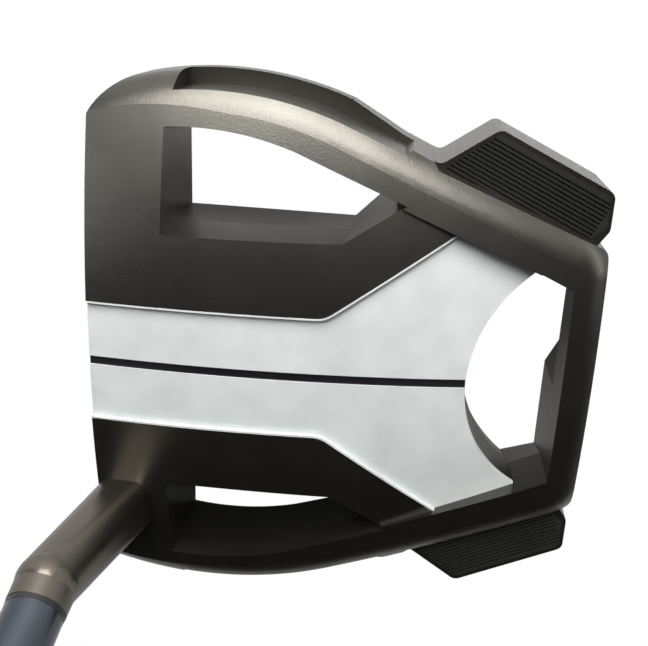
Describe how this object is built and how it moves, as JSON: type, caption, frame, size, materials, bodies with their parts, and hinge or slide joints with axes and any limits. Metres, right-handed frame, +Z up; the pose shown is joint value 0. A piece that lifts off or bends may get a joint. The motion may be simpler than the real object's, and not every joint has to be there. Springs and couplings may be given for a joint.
{
  "type": "mallet putter",
  "caption": "Right-handed mallet putter: an open twin-rail head with a white alignment plate and screw-in sole weights, on a bent neck, steel shaft and rubber grip.",
  "frame": {"origin": "on the flat sole, under the sight line, 30 mm behind the top edge of the face", "axes": "+X to the heel (the player's side), -X to the toe, -Y out of the face towards the target, +Y to the back, +Z up, as the club is soled at address"},
  "size_m": [0.3699, 0.1301, 0.814],
  "materials": {
    "head_frame": "bead-blasted and dark anodised to a satin gunmetal brown, with thin bright edges",
    "alignment_plate": "satin white paint on thin aluminium",
    "plate_bond": "cured structural adhesive film",
    "sight_line": "black paint fill",
    "face_insert": "fine milled lines, clear anodised",
    "insert_bond": "cured structural adhesive film",
    "rib_pad": "moulded black elastomer with fine parallel ribs",
    "weight_steel": "turned stainless steel, satin",
    "washer_steel": "zinc-plated spring steel",
    "sleeve_steel": "plain turned steel",
    "sole_plate": "brushed and dark anodised",
    "screw_steel": "black-oxide steel screws",
    "sole_badge": "blank satin disc with no lettering",
    "badge_bond": "adhesive film",
    "neck": "steel neck with a dark brown-grey PVD finish",
    "shaft_ring": "moulded black ring",
    "shaft": "steel tube with a glossy dark blue-grey PVD finish",
    "shaft_epoxy": "cured epoxy",
    "shaft_plug": "foamed plastic stopper",
    "grip": "textured black rubber",
    "grip_tape": "double-sided paper tape",
    "grip_cap": "moulded black rubber"
  },
  "bodies": {
    "club": {"head_frame": "head_frame", "alignment_plate": "alignment_plate", "plate_bond": "plate_bond", "sight_line": "sight_line", "face_insert": "face_insert", "insert_bond": "insert_bond", "heel_rib_pad": "rib_pad", "toe_rib_pad": "rib_pad", "heel_weight_sleeve": "sleeve_steel", "toe_weight_sleeve": "sleeve_steel", "sole_plate": "sole_plate", "sole_plate_screws": "screw_steel", "sole_badge": "sole_badge", "badge_bond": "badge_bond", "neck": "neck", "shaft_ring": "shaft_ring", "shaft": "shaft", "shaft_epoxy": "shaft_epoxy", "shaft_plug": "shaft_plug", "grip": "grip", "grip_tape": "grip_tape", "grip_cap": "grip_cap"},
    "heel_washer_body": {"heel_weight_washer": "washer_steel"},
    "heel_weight_body": {"heel_weight": "weight_steel"},
    "toe_washer_body": {"toe_weight_washer": "washer_steel"},
    "toe_weight_body": {"toe_weight": "weight_steel"}
  },
  "joints": [
    {"name": "heel_weight_slide", "type": "slide", "parent": "club", "child": "heel_washer_body", "axis": [0, 0, -1], "range_m": [0, 0.0065]},
    {"name": "heel_weight_turn", "type": "hinge", "parent": "heel_washer_body", "child": "heel_weight_body", "pos_m": [0.0332, 0.0466, 0.0025], "axis": [0, 0, -1], "range_deg": [0, 1872]},
    {"name": "toe_weight_slide", "type": "slide", "parent": "club", "child": "toe_washer_body", "axis": [0, 0, -1], "range_m": [0, 0.0065]},
    {"name": "toe_weight_turn", "type": "hinge", "parent": "toe_washer_body", "child": "toe_weight_body", "pos_m": [-0.0332, 0.0466, 0.0025], "axis": [0, 0, -1], "range_deg": [0, 1872]}
  ],
  "couplings": [
    {"joint": "heel_weight_slide", "follows": "heel_weight_turn", "m_per_rad": 0.00019894},
    {"joint": "toe_weight_slide", "follows": "toe_weight_turn", "m_per_rad": 0.00019894}
  ]
}
